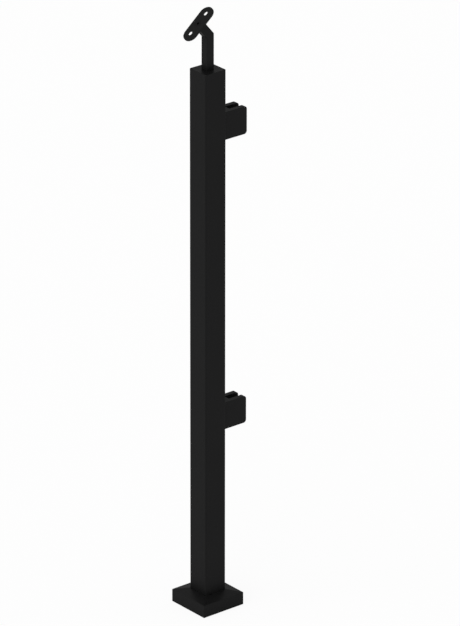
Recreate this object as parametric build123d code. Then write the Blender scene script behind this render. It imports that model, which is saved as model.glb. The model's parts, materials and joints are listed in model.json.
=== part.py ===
from build123d import *
import os
from math import cos, radians, sin, sqrt, tan

# Stair bottom post in millimetres. The origin is on the floor under the middle of the post, +Z is up,
# +X is the side that holds the glass and -Y is the plain side.

# Square tube of the post
post_side = 40.0
post_wall = 2.0
post_corner_radius = 2.5
post_height = 900.0  # from the floor to the flat top

# Foot plate and the weld that joins the tube to it
foot_thickness = 8.0
foot_corner_radius = 3.0
anchor_hole_diameter = 9.0
anchor_edge_distance = 10.0
weld_leg = 4.0
weld_height = 3.0
weld_slope = 45.0  # degrees

# Sheet cover that hides the foot plate
cover_side = 80.0
cover_height = 20.0
cover_sheet = 1.2
cover_corner_radius = 1.0
cover_edge_radius = 0.6
cover_foot_gap = 0.8
cover_post_gap = 0.4

# Cap that closes the top of the tube
cap_thickness = 4.0
cap_plug_depth = 12.0
cap_plug_gap = 0.15
cap_edge_chamfer = 0.5

# Mitred square bar of the handrail bracket
bar_side = 14.0
bar_edge_radius = 1.2
elbow_rise = 55.6  # from the top of the post to where the bar's two centre lines cross
stub_length = 26.2  # from that crossing to the underside of the saddle plate
stair_pitch = 40.0  # degrees

# Stud between the cap and the bar
stud_diameter = 8.0
stud_in_bar = 16.0
stud_tip_chamfer = 1.0
blind_hole_room = 2.0  # spare depth past the end of a screw or stud

# Saddle plate under the handrail
saddle_length = 64.0
saddle_width = 25.4
saddle_thickness = 3.0
saddle_edge_chamfer = 0.3
rail_slot_spacing = 38.8
rail_slot_width = 5.0
rail_slot_length = 6.6
rail_slot_land = 0.4  # straight depth under the plate's top
rail_slot_flare = 45.0  # degrees, for the screw heads on the underside

# Countersunk socket screw through the saddle plate
saddle_screw_diameter = 6.0
saddle_screw_head = 11.3
saddle_screw_length = 18.0
saddle_screw_key = 4.0
saddle_screw_socket = 2.3

# Glass clamps on the +X side
clamp_height = 45.4
clamp_reach = 46.2
clamp_jaw = 8.5
clamp_slot = 11.0
clamp_block = 17.7  # from the post to the closed end of the slot
clamp_corner_radius = 5.0
clamp_edge_chamfer = 0.5
clamp_mouth_chamfer = 0.4
upper_clamp_drop = 95.2  # from the top of the post to the middle of the upper clamp
lower_clamp_rise = 320.2  # from the floor to the middle of the lower clamp

# Rubber pads in the jaws
gasket_thickness = 2.5
gasket_recess = 1.0
gasket_margin = 2.5
gasket_corner_radius = 3.0
gasket_fit = 0.15

# Socket screw that holds a clamp to the post
bolt_diameter = 6.0
bolt_head = 10.0
bolt_head_height = 6.0
bolt_key = 5.0
bolt_socket = 3.0
bolt_length = 25.0
bolt_head_room = 0.2  # round the head and over it
bolt_hole_room = 0.25

# Blind rivet nut in the wall of the tube
rivet_body_diameter = 9.0
rivet_flange_diameter = 12.0
rivet_flange_thickness = 1.0
rivet_bulge_diameter = 11.5
rivet_bulge_length = 3.0
rivet_tail_length = 7.0
rivet_hole_room = 0.05
rivet_flange_room = 0.2

# Two countersunk socket screws that close each clamp
jaw_screw_diameter = 5.0
jaw_screw_head = 9.2
jaw_screw_length = 16.0
jaw_screw_key = 3.0
jaw_screw_socket = 1.8
jaw_screw_spacing = 26.0

# Shared fits and edges
least_inner_radius = 0.3
screw_tip_chamfer = 0.7
thread_gap = 0.05
countersink_gap = 0.05

# Sizes that follow from the ones above
foot_side = cover_side - 2 * (cover_sheet + cover_foot_gap)
anchor_spacing = foot_side - 2 * anchor_edge_distance
post_inside = post_side - 2 * post_wall
post_inner_radius = max(post_corner_radius - post_wall, least_inner_radius)
tube_top = post_height - cap_thickness
clamp_face = post_side / 2
clamp_half = clamp_slot / 2 + clamp_jaw
clamp_heights = {"upper": post_height - upper_clamp_drop, "lower": lower_clamp_rise}
elbow = Vector(0, 0, post_height + elbow_rise)
stub_direction = Vector(-sin(radians(stair_pitch)), 0, cos(radians(stair_pitch)))
pitch_direction = Vector(cos(radians(stair_pitch)), 0, sin(radians(stair_pitch)))
saddle_seat = Plane(elbow + stub_direction * stub_length, x_dir=pitch_direction, z_dir=stub_direction)


# Square with rounded corners, drawn flat
def rounded_square(side, radius):
    return RectangleRounded(side, side, radius)


# Round rod along +Z from a start height
def rod(diameter, length, start=0):
    return Pos(0, 0, start) * Cylinder(diameter / 2, length, align=(Align.CENTER, Align.CENTER, Align.MIN))


# Hexagon key socket cut downwards from z = 0
def key_socket(key, depth):
    corner_radius = key / sqrt(3)
    return extrude(RegularPolygon(corner_radius, 6), -depth)


# Countersunk socket screw with the flat of its head at z = 0 and its shank downwards
def countersunk_screw(diameter, head, length, key, socket):
    radius = diameter / 2
    cone = (head - diameter) / 2
    tip = screw_tip_chamfer
    outline = Polyline((0, 0), (head / 2, 0), (radius, -cone), (radius, tip - length),
                       (radius - tip, -length), (0, -length), close=True)
    body = revolve(Plane.XZ * make_face(outline), Axis.Z)
    return body - key_socket(key, socket)


# Hole for such a screw: its countersink, then a plain hole of the given diameter
def countersunk_hole(diameter, head, hole, depth):
    gap = countersink_gap
    cone = (head - diameter) / 2
    mouth = Cone(diameter / 2 + gap, head / 2 + gap, cone, align=(Align.CENTER, Align.CENTER, Align.MAX))
    return mouth + rod(hole, depth, -depth)


def post_tube():
    length = tube_top - foot_thickness
    wall = rounded_square(post_side, post_corner_radius) - rounded_square(post_inside, post_inner_radius)
    tube = Pos(0, 0, foot_thickness) * extrude(wall, length)
    drill = rod(rivet_body_diameter + 2 * rivet_hole_room, 3 * post_wall)
    for height in clamp_heights.values():
        tube -= Pos(post_inside / 2 - post_wall, 0, height) * Rot(0, 90, 0) * drill
    return tube


def base_plate():
    plate = extrude(rounded_square(foot_side, foot_corner_radius), foot_thickness)
    plate_top = Pos(0, 0, foot_thickness)
    weld_foot = rounded_square(post_side + 2 * weld_leg, post_corner_radius + weld_leg)
    weld = extrude(plate_top * weld_foot, weld_height, taper=weld_slope)
    tube_core = extrude(plate_top * rounded_square(post_side, post_corner_radius), weld_height)
    plate += weld - tube_core
    holes = GridLocations(anchor_spacing, anchor_spacing, 2, 2) * Circle(anchor_hole_diameter / 2)
    return plate - extrude(Sketch() + holes, foot_thickness)


def base_cover():
    shell = extrude(rounded_square(cover_side, cover_corner_radius), cover_height)
    shell = fillet(shell.faces().sort_by(Axis.Z)[-1].edges(), cover_edge_radius)
    inner_radius = max(cover_corner_radius - cover_sheet, least_inner_radius)
    inside = rounded_square(cover_side - 2 * cover_sheet, inner_radius)
    shell -= extrude(inside, cover_height - cover_sheet)
    hole = rounded_square(post_side + 2 * cover_post_gap, post_corner_radius + cover_post_gap)
    return shell - extrude(hole, cover_height)


def top_cap():
    lid = Pos(0, 0, tube_top) * extrude(rounded_square(post_side, post_corner_radius), cap_thickness)
    lid = chamfer(lid.faces().sort_by(Axis.Z)[-1].edges(), cap_edge_chamfer)
    plug_side = post_inside - 2 * cap_plug_gap
    plug = Pos(0, 0, tube_top) * extrude(rounded_square(plug_side, post_inner_radius), -cap_plug_depth)
    stud_hole = rod(stud_diameter + 2 * thread_gap, cap_plug_depth + cap_thickness, -cap_plug_depth)
    return lid + plug - Pos(0, 0, tube_top) * stud_hole


def bracket_stem():
    path = Polyline((0, 0, post_height), elbow, elbow + stub_direction * stub_length)
    section = Pos(0, 0, post_height) * rounded_square(bar_side, bar_edge_radius)
    bar = sweep(section, path=path, transition=Transition.RIGHT)
    bar -= rod(stud_diameter + 2 * thread_gap, stud_in_bar + blind_hole_room, post_height)
    screw_depth = saddle_screw_length - saddle_thickness + blind_hole_room
    bar -= saddle_seat * rod(saddle_screw_diameter + 2 * thread_gap, screw_depth, -screw_depth)
    return bar


def stem_stud():
    stud_start = tube_top - cap_plug_depth
    length = cap_plug_depth + cap_thickness + stud_in_bar
    stud = rod(stud_diameter, length, stud_start)
    return chamfer(stud.edges().filter_by(GeomType.CIRCLE), stud_tip_chamfer)


# Slot for a handrail screw, countersunk from the underside of the plate
def rail_slot():
    flare_depth = saddle_thickness - rail_slot_land
    growth = 2 * flare_depth * tan(radians(rail_slot_flare))
    mouth = SlotOverall(rail_slot_length + growth, rail_slot_width + growth)
    flare = extrude(mouth, flare_depth, taper=rail_slot_flare)
    return flare + extrude(SlotOverall(rail_slot_length, rail_slot_width), saddle_thickness)


def saddle_plate():
    plate = extrude(SlotOverall(saddle_length, saddle_width), saddle_thickness)
    rims = plate.faces().filter_by(Axis.Z).edges()
    plate = chamfer(rims, saddle_edge_chamfer)
    plate -= GridLocations(rail_slot_spacing, 0, 2, 1) * rail_slot()
    hole = countersunk_hole(saddle_screw_diameter, saddle_screw_head,
                            saddle_screw_diameter + 2 * countersink_gap, saddle_thickness)
    return saddle_seat * (plate - Pos(0, 0, saddle_thickness) * hole)


def saddle_screw():
    screw = countersunk_screw(saddle_screw_diameter, saddle_screw_head, saddle_screw_length,
                              saddle_screw_key, saddle_screw_socket)
    return saddle_seat * Pos(0, 0, saddle_thickness) * screw


# Side outline of a clamp, from the post outwards, with its two free corners rounded
def clamp_outline():
    outline = Rectangle(clamp_reach, clamp_height, align=(Align.MIN, Align.CENTER))
    return fillet(outline.vertices().group_by(Axis.X)[-1], clamp_corner_radius)


# Slab of an outline in X and Z between two places along Y
def slab(outline, low, high):
    return extrude(Plane.XZ.offset(-high) * outline, high - low)


# Breaks those edges of a jaw's face whose middles lie past a distance from the post
def soften_rim(face, size, past):
    return chamfer(face.edges().filter_by(lambda edge: edge.center().X > past), size)


# Outline of a rubber pad, grown by a gap for the pocket that holds it
def gasket_outline(gap=0):
    length = clamp_reach - clamp_block - 2 * gasket_margin
    height = clamp_height - 2 * gasket_margin
    middle = clamp_block + gasket_margin + length / 2
    return Pos(middle, 0) * RectangleRounded(length + 2 * gap, height + 2 * gap, gasket_corner_radius + gap)


# Places of the two screws that close a clamp, head outwards on the far side
def jaw_screw_places():
    turn = Rot(-90, 0, 0)
    return [Pos(clamp_block / 2, clamp_half, side * jaw_screw_spacing / 2) * turn for side in (-1, 1)]


# Room for the clamp's screw and rivet nut: shank hole, round head recess and flange recess along X
def bolt_room():
    along_x = Rot(0, 90, 0)
    head_recess = bolt_head_height + bolt_head_room
    flange_recess = rivet_flange_thickness + rivet_flange_room
    room = rod(bolt_diameter + 2 * bolt_hole_room, clamp_block)
    room += rod(bolt_head + 2 * bolt_head_room, head_recess, clamp_block - head_recess)
    room += rod(rivet_flange_diameter + 2 * rivet_flange_room, flange_recess)
    return along_x * room


# Pocket across the closed end of the slot that lets the screw's head in
def head_pocket():
    depth = bolt_head_height + bolt_head_room
    height = bolt_head + 2 * bolt_head_room
    pocket = Rectangle(depth, height, align=(Align.MAX, Align.CENTER))
    return slab(Pos(clamp_block, 0) * pocket, -clamp_slot / 2, clamp_slot / 2)


def clamp_body():
    inner = clamp_slot / 2
    jaw = slab(clamp_outline(), -clamp_half, -inner)
    jaw = soften_rim(jaw.faces().sort_by(Axis.Y)[0], clamp_edge_chamfer, clamp_edge_chamfer)
    block = Rectangle(clamp_block, clamp_height, align=(Align.MIN, Align.CENTER))
    body = jaw + slab(block, -inner, inner)
    slot_side = body.faces().filter_by(Axis.Y).sort_by(Axis.X)[-1]
    body = soften_rim(slot_side, clamp_mouth_chamfer, clamp_block + clamp_mouth_chamfer)
    body -= slab(gasket_outline(gasket_fit), -inner - gasket_recess, -inner)
    body -= bolt_room() + head_pocket()
    for place in jaw_screw_places():
        depth = jaw_screw_length + blind_hole_room
        body -= place * rod(jaw_screw_diameter + 2 * thread_gap, depth, -depth)
    return body


def clamp_plate():
    inner = clamp_slot / 2
    jaw = slab(clamp_outline(), inner, clamp_half)
    jaw = soften_rim(jaw.faces().sort_by(Axis.Y)[-1], clamp_edge_chamfer, clamp_edge_chamfer)
    jaw = soften_rim(jaw.faces().sort_by(Axis.Y)[0], clamp_mouth_chamfer, clamp_edge_chamfer)
    jaw -= slab(gasket_outline(gasket_fit), inner, inner + gasket_recess)
    jaw -= bolt_room()
    for place in jaw_screw_places():
        jaw -= place * countersunk_hole(jaw_screw_diameter, jaw_screw_head,
                                        jaw_screw_diameter + 2 * bolt_hole_room, clamp_jaw)
    return jaw


def front_gasket():
    seat = -clamp_slot / 2 - gasket_recess
    return slab(gasket_outline(), seat, seat + gasket_thickness)


def rear_gasket():
    seat = clamp_slot / 2 + gasket_recess
    return slab(gasket_outline(), seat - gasket_thickness, seat)


# Clamp screw along X: its head sits in the closed end of the slot and its tip is inside the tube
def clamp_bolt():
    seat = clamp_block - bolt_head_height - bolt_head_room
    shank = rod(bolt_diameter, bolt_length, -bolt_length)
    shank = chamfer(shank.faces().sort_by(Axis.Z)[0].edges(), screw_tip_chamfer)
    head = rod(bolt_head, bolt_head_height)
    head = chamfer(head.faces().sort_by(Axis.Z)[-1].edges(), screw_tip_chamfer)
    bolt = shank + head - Pos(0, 0, bolt_head_height) * key_socket(bolt_key, bolt_socket)
    return Pos(seat, 0, 0) * Rot(0, 90, 0) * bolt


# Rivet nut set in the wall: flange outside, swollen collar behind the wall, threaded tail
def rivet_nut():
    bore = bolt_diameter / 2 + thread_gap
    body = rivet_body_diameter / 2
    bulge_end = -post_wall - rivet_bulge_length
    bulge_middle = -post_wall - rivet_bulge_length / 2
    tail_end = bulge_end - rivet_tail_length
    flange = rivet_flange_diameter / 2
    outline = Polyline((bore, rivet_flange_thickness), (flange, rivet_flange_thickness), (flange, 0),
                       (body, 0), (body, -post_wall), (rivet_bulge_diameter / 2, bulge_middle),
                       (body, bulge_end), (body, tail_end), (bore, tail_end), close=True)
    return Rot(0, 90, 0) * revolve(Plane.XZ * make_face(outline), Axis.Z)


def plate_screws():
    screw = countersunk_screw(jaw_screw_diameter, jaw_screw_head, jaw_screw_length,
                              jaw_screw_key, jaw_screw_socket)
    return Compound(children=[place * screw for place in jaw_screw_places()])


post_pieces = {
    "post_tube": post_tube,
    "base_plate": base_plate,
    "base_cover": base_cover,
    "top_cap": top_cap,
    "bracket_stem": bracket_stem,
    "stem_stud": stem_stud,
    "saddle_plate": saddle_plate,
    "saddle_screw": saddle_screw,
}
clamp_pieces = {
    "clamp_body": clamp_body,
    "clamp_plate": clamp_plate,
    "front_gasket": front_gasket,
    "rear_gasket": rear_gasket,
    "clamp_bolt": clamp_bolt,
    "rivet_nut": rivet_nut,
    "plate_screws": plate_screws,
}

os.makedirs("parts", exist_ok=True)
for name, make in post_pieces.items():
    export_step(make(), f"parts/{name}.step")
for position, height in clamp_heights.items():
    for name, make in clamp_pieces.items():
        placed = Pos(clamp_face, 0, height) * make()
        export_step(placed, f"parts/{position}_{name}.step")
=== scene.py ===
import json
import math
import bmesh
import bpy
from mathutils import Matrix, Vector


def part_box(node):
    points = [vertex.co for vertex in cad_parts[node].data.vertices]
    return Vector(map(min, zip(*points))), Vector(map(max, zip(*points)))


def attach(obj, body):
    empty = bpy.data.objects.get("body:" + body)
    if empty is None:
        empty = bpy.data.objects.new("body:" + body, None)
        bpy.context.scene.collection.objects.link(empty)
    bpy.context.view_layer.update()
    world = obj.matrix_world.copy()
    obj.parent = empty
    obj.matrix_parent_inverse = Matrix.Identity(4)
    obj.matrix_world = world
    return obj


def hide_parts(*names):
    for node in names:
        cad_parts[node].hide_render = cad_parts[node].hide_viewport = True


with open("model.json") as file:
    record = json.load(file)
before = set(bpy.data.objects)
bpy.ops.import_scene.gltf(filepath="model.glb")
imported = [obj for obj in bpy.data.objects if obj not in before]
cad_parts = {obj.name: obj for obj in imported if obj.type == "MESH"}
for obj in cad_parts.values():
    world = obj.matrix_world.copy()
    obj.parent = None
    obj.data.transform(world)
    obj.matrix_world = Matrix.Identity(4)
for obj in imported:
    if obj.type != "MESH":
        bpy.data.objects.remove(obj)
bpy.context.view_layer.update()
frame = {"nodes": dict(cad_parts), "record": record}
nodes = frame["nodes"]
scene = bpy.context.scene
scene.view_settings.view_transform = "Standard"
print("frame loaded:", len(nodes), "pieces")


# small helpers for node trees
colorA, colorB, colorOut = 6, 7, 2  # colour sockets of a mix node


def addNode(tree, kind, **settings):
    node = tree.nodes.new(kind)
    for name, value in settings.items():
        setattr(node, name, value)
    return node


def setInputs(node, **values):
    for name, value in values.items():
        node.inputs[name.replace("_", " ")].default_value = value
    return node


def join(tree, output, target):
    tree.links.new(output, target)


# fine orange peel of a baked powder coat, shared by every coated or moulded surface
grainSockets = {
    "inputs": (("Peel Scale", 900.0), ("Speck Scale", 4200.0), ("Speck Share", 0.35), ("Cloud Scale", 14.0)),
    "outputs": ("Height", "Cloud"),
}
grainNoise = {  # detail and roughness of each layer
    "Peel Scale": (2.0, 0.5),
    "Speck Scale": (1.0, 0.6),
    "Cloud Scale": (4.0, 0.55),
}
cloudSpread = {"From_Min": 0.3, "From_Max": 0.7}


def buildGrainGroup():
    group = bpy.data.node_groups.new("surfaceGrain", "ShaderNodeTree")
    for name, value in grainSockets["inputs"]:
        socket = group.interface.new_socket(name, in_out="INPUT", socket_type="NodeSocketFloat")
        socket.default_value = value
    for name in grainSockets["outputs"]:
        group.interface.new_socket(name, in_out="OUTPUT", socket_type="NodeSocketFloat")
    given = addNode(group, "NodeGroupInput")
    result = addNode(group, "NodeGroupOutput")
    place = addNode(group, "ShaderNodeTexCoord")
    noise = {}
    for socket, (detail, roughness) in grainNoise.items():
        noise[socket] = setInputs(addNode(group, "ShaderNodeTexNoise"), Detail=detail, Roughness=roughness)
        join(group, place.outputs["Object"], noise[socket].inputs["Vector"])
        join(group, given.outputs[socket], noise[socket].inputs["Scale"])
    height = addNode(group, "ShaderNodeMix", data_type="FLOAT")
    join(group, given.outputs["Speck Share"], height.inputs["Factor"])
    join(group, noise["Peel Scale"].outputs["Fac"], height.inputs["A"])
    join(group, noise["Speck Scale"].outputs["Fac"], height.inputs["B"])
    join(group, height.outputs["Result"], result.inputs["Height"])
    spread = setInputs(addNode(group, "ShaderNodeMapRange"), **cloudSpread)
    join(group, noise["Cloud Scale"].outputs["Fac"], spread.inputs["Value"])
    join(group, spread.outputs["Result"], result.inputs["Cloud"])
    return group


grainGroup = buildGrainGroup()
print("grain group built")

# one dictionary for each finish: what a user would change
blackCoat = {
    "name": "blackPowderCoat",
    "dark": (0.0046, 0.0046, 0.0047, 1.0),
    "light": (0.0056, 0.0056, 0.0057, 1.0),
    "smooth": 0.46,  # roughness where the coat flowed out
    "dull": 0.56,
    "specular": 0.0,
    "coatLow": 0.192,
    "coatHigh": 0.228,
    "coatRoughness": 0.40,
    "metallic": 0.0,
    "bumpDepth": 0.00002,
    "bumpStrength": 0.35,
    "grain": {"Peel Scale": 900.0, "Speck Scale": 4200.0, "Speck Share": 0.35, "Cloud Scale": 14.0},
}
blackRubber = {
    "name": "blackRubber",
    "dark": (0.0020, 0.0020, 0.0020, 1.0),
    "light": (0.0038, 0.0038, 0.0037, 1.0),
    "smooth": 0.70,
    "dull": 0.86,
    "specular": 0.05,
    "metallic": 0.0,
    "bumpDepth": 0.00004,
    "bumpStrength": 0.5,
    "grain": {"Peel Scale": 1600.0, "Speck Scale": 5200.0, "Speck Share": 0.6, "Cloud Scale": 60.0},
}
blackOxide = {
    "name": "blackOxideSteel",
    "dark": (0.0040, 0.0040, 0.0042, 1.0),
    "light": (0.0056, 0.0056, 0.0058, 1.0),
    "smooth": 0.38,
    "dull": 0.50,
    "specular": 0.0,
    "coatLow": 0.14,
    "coatHigh": 0.20,
    "coatRoughness": 0.34,
    "metallic": 0.0,
    "bumpDepth": 0.00001,
    "bumpStrength": 0.3,
    "grain": {"Peel Scale": 2400.0, "Speck Scale": 6500.0, "Speck Share": 0.5, "Cloud Scale": 220.0},
}
zincPlate = {
    "name": "zincPlatedSteel",
    "dark": (0.36, 0.37, 0.40, 1.0),
    "light": (0.58, 0.59, 0.61, 1.0),
    "smooth": 0.26,
    "dull": 0.42,
    "specular": 0.5,
    "metallic": 1.0,
    "bumpDepth": 0.00001,
    "bumpStrength": 0.3,
    "grain": {"Peel Scale": 2400.0, "Speck Scale": 6500.0, "Speck Share": 0.5, "Cloud Scale": 260.0},
}


def buildFinish(finish):
    material = bpy.data.materials.new(finish["name"])
    material.use_nodes = True
    tree = material.node_tree
    shader = tree.nodes["Principled BSDF"]
    setInputs(shader, Metallic=finish["metallic"], Specular_IOR_Level=finish["specular"])
    grain = addNode(tree, "ShaderNodeGroup", node_tree=grainGroup)
    for socket, value in finish["grain"].items():
        grain.inputs[socket].default_value = value
    tone = addNode(tree, "ShaderNodeMix", data_type="RGBA")
    tone.inputs[colorA].default_value = finish["dark"]
    tone.inputs[colorB].default_value = finish["light"]
    join(tree, grain.outputs["Cloud"], tone.inputs["Factor"])
    join(tree, tone.outputs[colorOut], shader.inputs["Base Color"])
    if "coatRoughness" in finish:
        setInputs(shader, Coat_Roughness=finish["coatRoughness"])
        film = addNode(tree, "ShaderNodeMapRange")
        setInputs(film, To_Min=finish["coatHigh"], To_Max=finish["coatLow"])
        join(tree, grain.outputs["Cloud"], film.inputs["Value"])
        join(tree, film.outputs["Result"], shader.inputs["Coat Weight"])
    gloss = setInputs(addNode(tree, "ShaderNodeMapRange"), To_Min=finish["smooth"], To_Max=finish["dull"])
    join(tree, grain.outputs["Cloud"], gloss.inputs["Value"])
    join(tree, gloss.outputs["Result"], shader.inputs["Roughness"])
    bump = addNode(tree, "ShaderNodeBump")
    setInputs(bump, Strength=finish["bumpStrength"], Distance=finish["bumpDepth"])
    join(tree, grain.outputs["Height"], bump.inputs["Height"])
    join(tree, bump.outputs["Normal"], shader.inputs["Normal"])
    return material


finishes = {
    "black_coat": buildFinish(blackCoat),
    "black_rubber": buildFinish(blackRubber),
    "black_screw": buildFinish(blackOxide),
    "zinc_steel": buildFinish(zincPlate),
}
print("finishes built:", len(finishes))

# every solid takes the finish of its slot
for part in frame["record"]["subparts"]:
    mesh = nodes[part["node"]].data
    mesh.materials.clear()
    mesh.materials.append(finishes[part["material_slot"]])

# threaded fasteners: a V thread spun round the shank, then rings pushed out of its end loops
mm = 0.001
nearly = 0.001 * mm  # points this near are one
onPlane = 0.00001 * mm
threadCut = {
    "stepsPerTurn": 48,  # a multiple of six, so that a key socket keeps its corners
    "depth": 0.613,  # this and the profile are shares of the pitch
    "profile": ((0.0, 0), (0.25, 0), (0.5625, 1), (0.6875, 1), (1.0, 0)),  # height, and 1 at the crest
    "spareTurns": 1.3,  # cut away again below the shank
}
sharpAngle = 32.0  # degrees


def onlyVerts(items):
    return [item for item in items if isinstance(item, bmesh.types.BMVert)]


def spinThread(bm, radius, pitch, low, high):
    steps = threadCut["stepsPerTurn"]
    root = radius - threadCut["depth"] * pitch
    start = low - threadCut["spareTurns"] * pitch
    turns = math.ceil((high - start) / pitch) + 1
    corners = [bm.verts.new((radius if crest else root, 0.0, start + share * pitch))
               for share, crest in threadCut["profile"]]
    flanks = [bm.edges.new(pair) for pair in zip(corners, corners[1:])]
    bmesh.ops.spin(bm, geom=corners + flanks, cent=(0, 0, 0), axis=(0, 0, 1), dvec=(0, 0, pitch / steps),
                   angle=math.tau, steps=steps, use_merge=False)
    firstTurn = bm.verts[:] + bm.edges[:] + bm.faces[:]
    for turn in range(1, turns):
        copied = bmesh.ops.duplicate(bm, geom=firstTurn)["geom"]
        bmesh.ops.translate(bm, vec=(0, 0, turn * pitch), verts=onlyVerts(copied))
    bmesh.ops.remove_doubles(bm, verts=bm.verts, dist=nearly)
    for height, side in ((low, -1), (high, 1)):
        everything = bm.verts[:] + bm.edges[:] + bm.faces[:]
        bmesh.ops.bisect_plane(bm, geom=everything, dist=onPlane, plane_co=(0, 0, height),
                               plane_no=(0, 0, side), clear_outer=True)


def openLoop(bm, height):
    return [edge for edge in bm.edges
            if edge.is_boundary and all(abs(vert.co.z - height) < nearly for vert in edge.verts)]


def pushRing(bm, loop, reach, height):
    pushed = bmesh.ops.extrude_edge_only(bm, edges=loop)["geom"]
    for vert in onlyVerts(pushed):
        angle = math.atan2(vert.co.y, vert.co.x)
        out = reach(angle) if callable(reach) else reach
        vert.co = (out * math.cos(angle), out * math.sin(angle), height)
    return [item for item in pushed if isinstance(item, bmesh.types.BMEdge) and item.is_boundary]


def closeRing(bm, loop, height):
    inner = pushRing(bm, loop, 0.0, height)
    ends = {vert for edge in inner for vert in edge.verts}
    bmesh.ops.pointmerge(bm, verts=list(ends), merge_co=(0, 0, height))


def hexagon(key):
    sixth = math.pi / 3
    return lambda angle: key / 2 / math.cos((angle + sixth / 2) % sixth - sixth / 2)


def knurl(radius, cut, ridges):
    return lambda angle: radius - cut * (0.5 - 0.5 * math.cos(ridges * angle))


def addTip(bm, radius, tip, end, way):
    loop = pushRing(bm, openLoop(bm, end - way * tip), radius - tip, end)
    closeRing(bm, loop, end)


def addSocket(bm, loop, screw, top):
    loop = pushRing(bm, loop, hexagon(screw["key"]), top)
    loop = pushRing(bm, loop, hexagon(screw["key"]), top - screw["socket"])
    closeRing(bm, loop, top - screw["socket"] - screw["drillPoint"])


def buildStud(stud):  # along +Z from z = 0
    bm = bmesh.new()
    radius, tip, length = stud["radius"], stud["tip"], stud["length"]
    spinThread(bm, radius, stud["pitch"], tip, length - tip)
    addTip(bm, radius, tip, 0.0, -1)
    addTip(bm, radius, tip, length, 1)
    return bm


def buildCountersunk(screw):  # flat of the head at z = 0, shank along -Z
    bm = bmesh.new()
    radius, tip, length = screw["radius"], screw["tip"], screw["length"]
    cone = screw["headRadius"] - radius
    neck = -cone - screw["neck"]
    spinThread(bm, radius, screw["pitch"], tip - length, neck)
    addTip(bm, radius, tip, -length, -1)
    loop = pushRing(bm, openLoop(bm, neck), radius, -cone)
    loop = pushRing(bm, loop, screw["headRadius"], 0.0)
    addSocket(bm, loop, screw, 0.0)
    return bm


def buildCapScrew(screw):  # seat of the head at z = 0, shank along -Z
    bm = bmesh.new()
    radius, tip, length = screw["radius"], screw["tip"], screw["length"]
    head, top, rim = screw["headRadius"], screw["headHeight"], screw["rim"]
    grip = knurl(head, screw["knurlCut"], screw["knurlRidges"])
    spinThread(bm, radius, screw["pitch"], tip - length, -screw["neck"])
    addTip(bm, radius, tip, -length, -1)
    loop = pushRing(bm, openLoop(bm, -screw["neck"]), radius, -screw["neck"] / 2)
    loop = pushRing(bm, loop, radius, 0.0)
    loop = pushRing(bm, loop, head - rim, 0.0)
    bmesh.ops.subdivide_edges(bm, edges=loop, cuts=1)  # finer round the head, for its ridges
    loop = openLoop(bm, 0.0)
    fade = rim / 2  # from the plain rim into the ridges
    shoulder = top - rim - fade
    sides = [(head, rim), (grip, rim + fade), (grip, shoulder - fade), (head, shoulder), (head - rim, top)]
    for reach, height in sides:
        loop = pushRing(bm, loop, reach, height)
    addSocket(bm, loop, screw, top)
    return bm


def placeCopies(bm, places):
    shape = bpy.data.meshes.new("shape")
    bm.to_mesh(shape)
    bm.clear()
    for place in places:
        shape.transform(place)
        bm.from_mesh(shape)
        shape.transform(place.inverted())
    bpy.data.meshes.remove(shape)


def standFor(node, name, bm):
    bmesh.ops.recalc_face_normals(bm, faces=bm.faces)
    slotName = next(part["material_slot"] for part in frame["record"]["subparts"] if part["node"] == node)
    mesh = bpy.data.meshes.new(name)
    bm.to_mesh(mesh)
    bm.free()
    mesh.shade_smooth()
    mesh.set_sharp_from_angle(angle=math.radians(sharpAngle))
    mesh.materials.append(finishes[slotName])
    piece = bpy.data.objects.new(name, mesh)
    scene.collection.objects.link(piece)
    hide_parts(node)
    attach(piece, "root")


def turnTo(axis):
    return Vector(axis).to_track_quat("Z", "Y").to_matrix().to_4x4()


stemStud = {"pitch": 1.25 * mm, "tip": 1.0 * mm}  # M8, its length and radius come from the frame


def makeStemStud():
    low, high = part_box("stem_stud")
    sizes = {"radius": (high.x - low.x) / 2, "length": high.z - low.z}
    bm = buildStud({**stemStud, **sizes})
    middle = (low + high) / 2
    placeCopies(bm, [Matrix.Translation((middle.x, middle.y, low.z))])
    standFor("stem_stud", "stemStud", bm)


saddleScrew = {  # M6, countersunk
    "radius": 3.0 * mm, "length": 18.0 * mm, "pitch": 1.0 * mm, "tip": 0.7 * mm, "neck": 0.6 * mm,
    "headRadius": 5.65 * mm, "key": 4.0 * mm, "socket": 2.3 * mm, "drillPoint": 0.5 * mm,
}


def makeSaddleScrew():
    seat = next(mount for mount in frame["record"]["mounts"] if mount["name"] == "handrail_slots")
    bm = buildCountersunk(saddleScrew)
    placeCopies(bm, [Matrix.Translation(seat["pos_m"]) @ turnTo(seat["axis"])])
    standFor("saddle_screw", "saddleScrew", bm)


clampBolt = {  # M6, cap head
    "radius": 3.0 * mm, "length": 25.0 * mm, "pitch": 1.0 * mm, "tip": 0.7 * mm, "neck": 1.5 * mm,
    "headRadius": 5.0 * mm, "headHeight": 6.0 * mm, "rim": 0.6 * mm, "key": 5.0 * mm, "socket": 3.0 * mm,
    "drillPoint": 0.6 * mm, "knurlCut": 0.16 * mm, "knurlRidges": 48,
}
plateScrew = {  # M5, countersunk
    "radius": 2.5 * mm, "length": 16.0 * mm, "pitch": 0.8 * mm, "tip": 0.7 * mm, "neck": 0.6 * mm,
    "headRadius": 4.6 * mm, "key": 3.0 * mm, "socket": 1.8 * mm, "drillPoint": 0.4 * mm,
}


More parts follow.
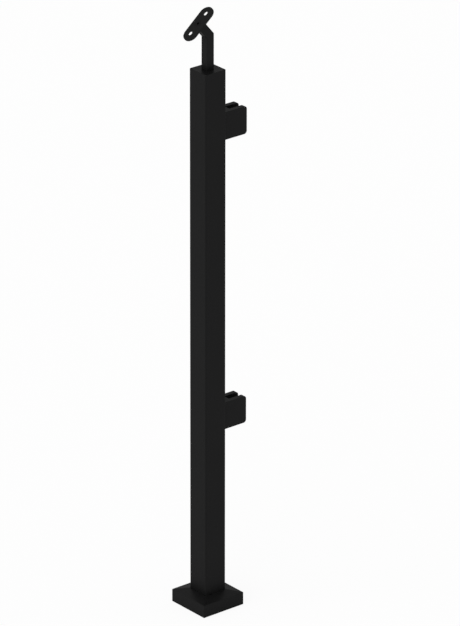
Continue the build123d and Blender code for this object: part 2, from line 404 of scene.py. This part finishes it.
def makeClampScrews(side):
    low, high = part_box(side + "_clamp_bolt")
    middle = (low + high) / 2
    bolt = buildCapScrew(clampBolt)
    seat = Matrix.Translation((high.x - clampBolt["headHeight"], middle.y, middle.z))
    placeCopies(bolt, [seat @ turnTo((1, 0, 0))])
    standFor(side + "_clamp_bolt", side + "ClampBolt", bolt)
    low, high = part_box(side + "_plate_screws")
    pair = buildCountersunk(plateScrew)
    heights = (low.z + plateScrew["headRadius"], high.z - plateScrew["headRadius"])
    placeCopies(pair, [Matrix.Translation(((low.x + high.x) / 2, high.y, height)) @ turnTo((0, 1, 0))
                       for height in heights])
    standFor(side + "_plate_screws", side + "PlateScrews", pair)


makeStemStud()
makeSaddleScrew()
for clampSide in ("upper", "lower"):
    makeClampScrews(clampSide)
print("threaded fasteners built")

# moulded rubber pads with a soft rim
rubberPad = {"cornerRadius": 3.0 * mm, "cornerSteps": 6, "rim": 0.45 * mm, "rimSteps": 3}


def makePad(side, jaw):
    low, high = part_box(f"{side}_{jaw}_gasket")
    bm = bmesh.new()
    bmesh.ops.create_cube(bm, size=1.0)
    bmesh.ops.scale(bm, vec=high - low, verts=bm.verts)
    bmesh.ops.translate(bm, vec=(low + high) / 2, verts=bm.verts)
    halfThick = (high.y - low.y) / 2
    across = [edge for edge in bm.edges if abs(edge.verts[0].co.y - edge.verts[1].co.y) > halfThick]
    bmesh.ops.bevel(bm, geom=across, offset=rubberPad["cornerRadius"], offset_type="OFFSET",
                    segments=rubberPad["cornerSteps"], profile=0.5, affect="EDGES", material=-1)
    flat = [edge for edge in bm.edges if abs(edge.verts[0].co.y - edge.verts[1].co.y) < halfThick]
    bmesh.ops.bevel(bm, geom=flat, offset=rubberPad["rim"], offset_type="OFFSET",
                    segments=rubberPad["rimSteps"], profile=0.5, affect="EDGES", material=-1)
    standFor(f"{side}_{jaw}_gasket", f"{side}{jaw.capitalize()}Pad", bm)


for clampSide in ("upper", "lower"):
    for clampJaw in ("front", "rear"):
        makePad(clampSide, clampJaw)
print("rubber pads built")

# base cover: four slopes rise from a soft rim to the post
baseCover = {
    "rimHeight": 20.6 * mm,
    "rise": 4.2 * mm,  # from the rim to the post
    "sheet": 1.2 * mm,
    "corner": 1.0 * mm,
    "cornerSteps": 4,
    "rim": 0.8 * mm,
    "rimSteps": 5,
    "postGap": 0.4 * mm,
    "postCorner": 2.9 * mm,
    "border": 0.15 * mm,  # narrow strip that keeps the shading of the flat faces flat
}


def squareRing(bm, half, corner, height):
    before = set(bm.edges)
    square = bmesh.ops.create_grid(bm, x_segments=1, y_segments=1, size=half,
                                   matrix=Matrix.Translation((0, 0, height)))["verts"]
    bmesh.ops.bevel(bm, geom=square, offset=corner, offset_type="OFFSET", segments=baseCover["cornerSteps"],
                    profile=0.5, affect="VERTICES", material=-1)
    bmesh.ops.delete(bm, geom=bm.faces[:], context="FACES_ONLY")
    return [edge for edge in bm.edges if edge not in before]


def coverRings(half, hole, foot):  # half side, corner radius and height, up the outside and down the inside
    corner, sheet, rim = baseCover["corner"], baseCover["sheet"], baseCover["rim"]
    slope = math.atan2(baseCover["rise"], half - hole)
    middle = baseCover["rimHeight"] + rim * (1 - math.sin(slope)) * math.tan(slope) - rim * math.cos(slope)
    rings = [(half, corner, foot)]
    for step in range(baseCover["rimSteps"] + 1):
        tilt = math.pi / 2 + (slope - math.pi / 2) * step / baseCover["rimSteps"]
        rings.append((half - rim + rim * math.sin(tilt), corner, middle + rim * math.cos(tilt)))
    crown = baseCover["rimHeight"] + baseCover["rise"]
    drop = sheet / math.cos(slope)
    rings.append((hole, baseCover["postCorner"], crown))
    rings.append((hole, baseCover["postCorner"], crown - drop))
    rings.append((half - sheet, corner, baseCover["rimHeight"] + sheet * math.tan(slope) - drop))
    rings.append((half - sheet, corner, foot))
    return rings


def makeBaseCover():
    low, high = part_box("base_cover")
    postLow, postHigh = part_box("post_tube")
    half = (high.x - low.x) / 2
    hole = (postHigh.x - postLow.x) / 2 + baseCover["postGap"]
    bm = bmesh.new()
    loops = [squareRing(bm, *ring) for ring in coverRings(half, hole, low.z)]
    for first, second in zip(loops, loops[1:] + loops[:1]):
        bmesh.ops.bridge_loops(bm, edges=first + second)
    broad = [face for face in bm.faces if face.calc_area() > half * hole / 2]  # the slopes and the walls
    bmesh.ops.inset_individual(bm, faces=broad, thickness=baseCover["border"], use_even_offset=True)
    standFor("base_cover", "baseCover", bm)


makeBaseCover()
print("base cover built")

# pale studio floor: nearly white to the eye, and it still takes the soft shadow
studioFloor = {
    "halfSide": 40.0,
    "paint": (0.80, 0.80, 0.80, 1.0),
    "whiteShare": 0.90,  # how much of the floor's look is plain white
}


def buildFloor():
    bpy.ops.mesh.primitive_plane_add(size=2 * studioFloor["halfSide"])
    floor = bpy.context.object
    floor.name = "studioFloor"
    material = bpy.data.materials.new("paleFloor")
    material.use_nodes = True
    tree = material.node_tree
    tree.nodes.remove(tree.nodes["Principled BSDF"])
    paint = setInputs(addNode(tree, "ShaderNodeBsdfDiffuse"), Color=studioFloor["paint"])
    white = setInputs(addNode(tree, "ShaderNodeEmission"), Color=(1.0, 1.0, 1.0, 1.0), Strength=1.0)
    path = addNode(tree, "ShaderNodeLightPath")
    seen = addNode(tree, "ShaderNodeMath", operation="MAXIMUM")
    join(tree, path.outputs["Is Camera Ray"], seen.inputs[0])
    join(tree, path.outputs["Is Transmission Ray"], seen.inputs[1])
    share = addNode(tree, "ShaderNodeMath", operation="MULTIPLY")
    share.inputs[1].default_value = studioFloor["whiteShare"]
    join(tree, seen.outputs[0], share.inputs[0])
    blend = addNode(tree, "ShaderNodeMixShader")
    join(tree, share.outputs[0], blend.inputs[0])
    join(tree, paint.outputs[0], blend.inputs[1])
    join(tree, white.outputs[0], blend.inputs[2])
    join(tree, blend.outputs[0], tree.nodes["Material Output"].inputs["Surface"])
    floor.data.materials.append(material)


buildFloor()

# soft room: white at the horizon, dimmer overhead, and one broad lamp
studioLight = {
    "horizon": (1.0, 1.0, 1.0, 1.0),
    "overhead": (0.6, 0.6, 0.6, 1.0),
    "whiteBelow": 0.35,  # sine of the elevation where the white starts to fall
    "dimAbove": 0.75,
    "lampStrength": 1.6,
    "lampSpread": 60.0,  # degrees
    "lampFrom": (-1.0, -0.12, 1.0),
}


def buildLight():
    world = bpy.data.worlds.new("softRoom")
    scene.world = world
    world.use_nodes = True
    tree = world.node_tree
    place = addNode(tree, "ShaderNodeTexCoord")
    split = addNode(tree, "ShaderNodeSeparateXYZ")
    join(tree, place.outputs["Generated"], split.inputs[0])
    rise = addNode(tree, "ShaderNodeMapRange", interpolation_type="SMOOTHSTEP")
    setInputs(rise, From_Min=studioLight["whiteBelow"], From_Max=studioLight["dimAbove"])
    join(tree, split.outputs["Z"], rise.inputs["Value"])
    tone = addNode(tree, "ShaderNodeMix", data_type="RGBA")
    tone.inputs[colorA].default_value = studioLight["horizon"]
    tone.inputs[colorB].default_value = studioLight["overhead"]
    join(tree, rise.outputs["Result"], tone.inputs["Factor"])
    join(tree, tone.outputs[colorOut], tree.nodes["Background"].inputs["Color"])
    lamp = bpy.data.lights.new("broadLamp", "SUN")
    lamp.energy = studioLight["lampStrength"]
    lamp.angle = math.radians(studioLight["lampSpread"])
    holder = bpy.data.objects.new("broadLamp", lamp)
    holder.rotation_euler = (-Vector(studioLight["lampFrom"])).to_track_quat("-Z", "Y").to_euler()
    scene.collection.objects.link(holder)


buildLight()
print("floor and light set")

# camera at the photograph's angle
photoCamera = {
    "azimuth": 39.213,  # degrees round from the plain side
    "elevation": 23.432,
    "distance": 9.575,
    "aimHeight": 0.49639,
    "lens": 356.99,
    "sensor": 36.0,
    "shiftX": 0.03564,
    "farClip": 200.0,
}


def buildCamera():
    turn = math.radians(photoCamera["azimuth"])
    rise = math.radians(photoCamera["elevation"])
    back = Vector((-math.sin(turn) * math.cos(rise), -math.cos(turn) * math.cos(rise), math.sin(rise)))
    lens = bpy.data.cameras.new("photoCamera")
    lens.lens = photoCamera["lens"]
    lens.sensor_width = photoCamera["sensor"]
    lens.shift_x = photoCamera["shiftX"]
    lens.clip_end = photoCamera["farClip"]
    holder = bpy.data.objects.new("photoCamera", lens)
    holder.location = Vector((0.0, 0.0, photoCamera["aimHeight"])) + back * photoCamera["distance"]
    holder.rotation_euler = (-back).to_track_quat("-Z", "Y").to_euler()
    scene.collection.objects.link(holder)
    scene.camera = holder


buildCamera()
print("camera set")
